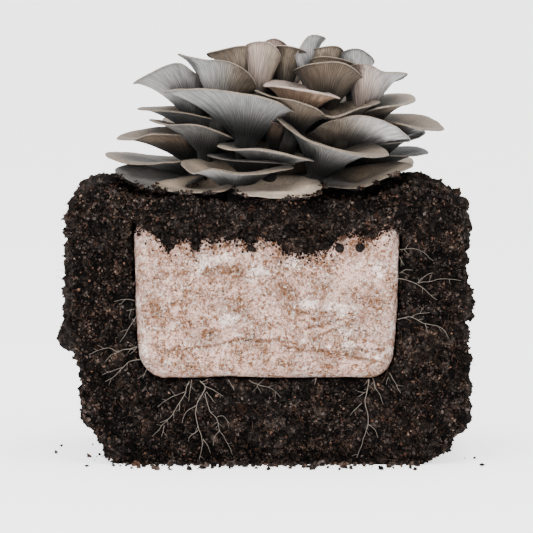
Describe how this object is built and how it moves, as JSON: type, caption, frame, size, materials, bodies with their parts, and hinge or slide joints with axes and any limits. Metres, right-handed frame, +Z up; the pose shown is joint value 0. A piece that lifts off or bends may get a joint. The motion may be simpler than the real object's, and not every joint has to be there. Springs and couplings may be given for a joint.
{
  "type": "oyster mushroom grow kit",
  "caption": "Rosette of grey oyster mushrooms growing from a speckled sawdust mycelium block, bedded in a mass of dark soil whose front is cut away to show the block and pale mycelium strands.",
  "frame": {"origin": "on the soil's flat underside, below the middle of the substrate block", "axes": "+Z up, -Y towards the cut front that shows the block, +X to the right as seen from the front"},
  "size_m": [0.3073, 0.2168, 0.3302],
  "materials": {
    "mushroom": "soft matte flesh, taupe on top, pale grey gills below",
    "sawdust": "matte, pale pink-white mycelium with brown specks",
    "soil": "loose, damp and matte",
    "mycelium": "matte pale grey fibre"
  },
  "bodies": {
    "root": {"substrate_block": "sawdust", "soil": "soil", "stem_base": "mushroom", "back_mushroom_1": "mushroom", "back_mushroom_2": "mushroom", "back_mushroom_3": "mushroom", "back_mushroom_4": "mushroom", "back_mushroom_5": "mushroom", "back_mushroom_6": "mushroom", "back_mushroom_7": "mushroom", "back_mushroom_8": "mushroom", "back_mushroom_9": "mushroom", "back_mushroom_10": "mushroom", "back_mushroom_11": "mushroom", "back_mushroom_12": "mushroom", "crown_mushroom_1": "mushroom", "crown_mushroom_2": "mushroom", "crown_mushroom_3": "mushroom", "crown_mushroom_4": "mushroom", "crown_mushroom_5": "mushroom", "crown_mushroom_6": "mushroom", "crown_mushroom_7": "mushroom", "crown_mushroom_8": "mushroom", "crown_mushroom_9": "mushroom", "lower_mushroom_1": "mushroom", "lower_mushroom_2": "mushroom", "lower_mushroom_3": "mushroom", "lower_mushroom_4": "mushroom", "lower_mushroom_5": "mushroom", "lower_mushroom_6": "mushroom", "lower_mushroom_7": "mushroom", "lower_mushroom_8": "mushroom", "middle_mushroom_1": "mushroom", "middle_mushroom_2": "mushroom", "middle_mushroom_3": "mushroom", "middle_mushroom_4": "mushroom", "middle_mushroom_5": "mushroom", "middle_mushroom_6": "mushroom", "middle_mushroom_7": "mushroom", "middle_mushroom_8": "mushroom", "skirt_mushroom_1": "mushroom", "skirt_mushroom_2": "mushroom", "skirt_mushroom_3": "mushroom", "skirt_mushroom_4": "mushroom", "skirt_mushroom_5": "mushroom", "upper_mushroom_1": "mushroom", "upper_mushroom_2": "mushroom", "upper_mushroom_3": "mushroom", "upper_mushroom_4": "mushroom", "upper_mushroom_5": "mushroom", "strand_1": "mycelium", "strand_2": "mycelium", "strand_3": "mycelium", "strand_4": "mycelium", "strand_5": "mycelium", "strand_6": "mycelium", "strand_7": "mycelium", "strand_8": "mycelium", "strand_9": "mycelium"}
  },
  "joints": []
}
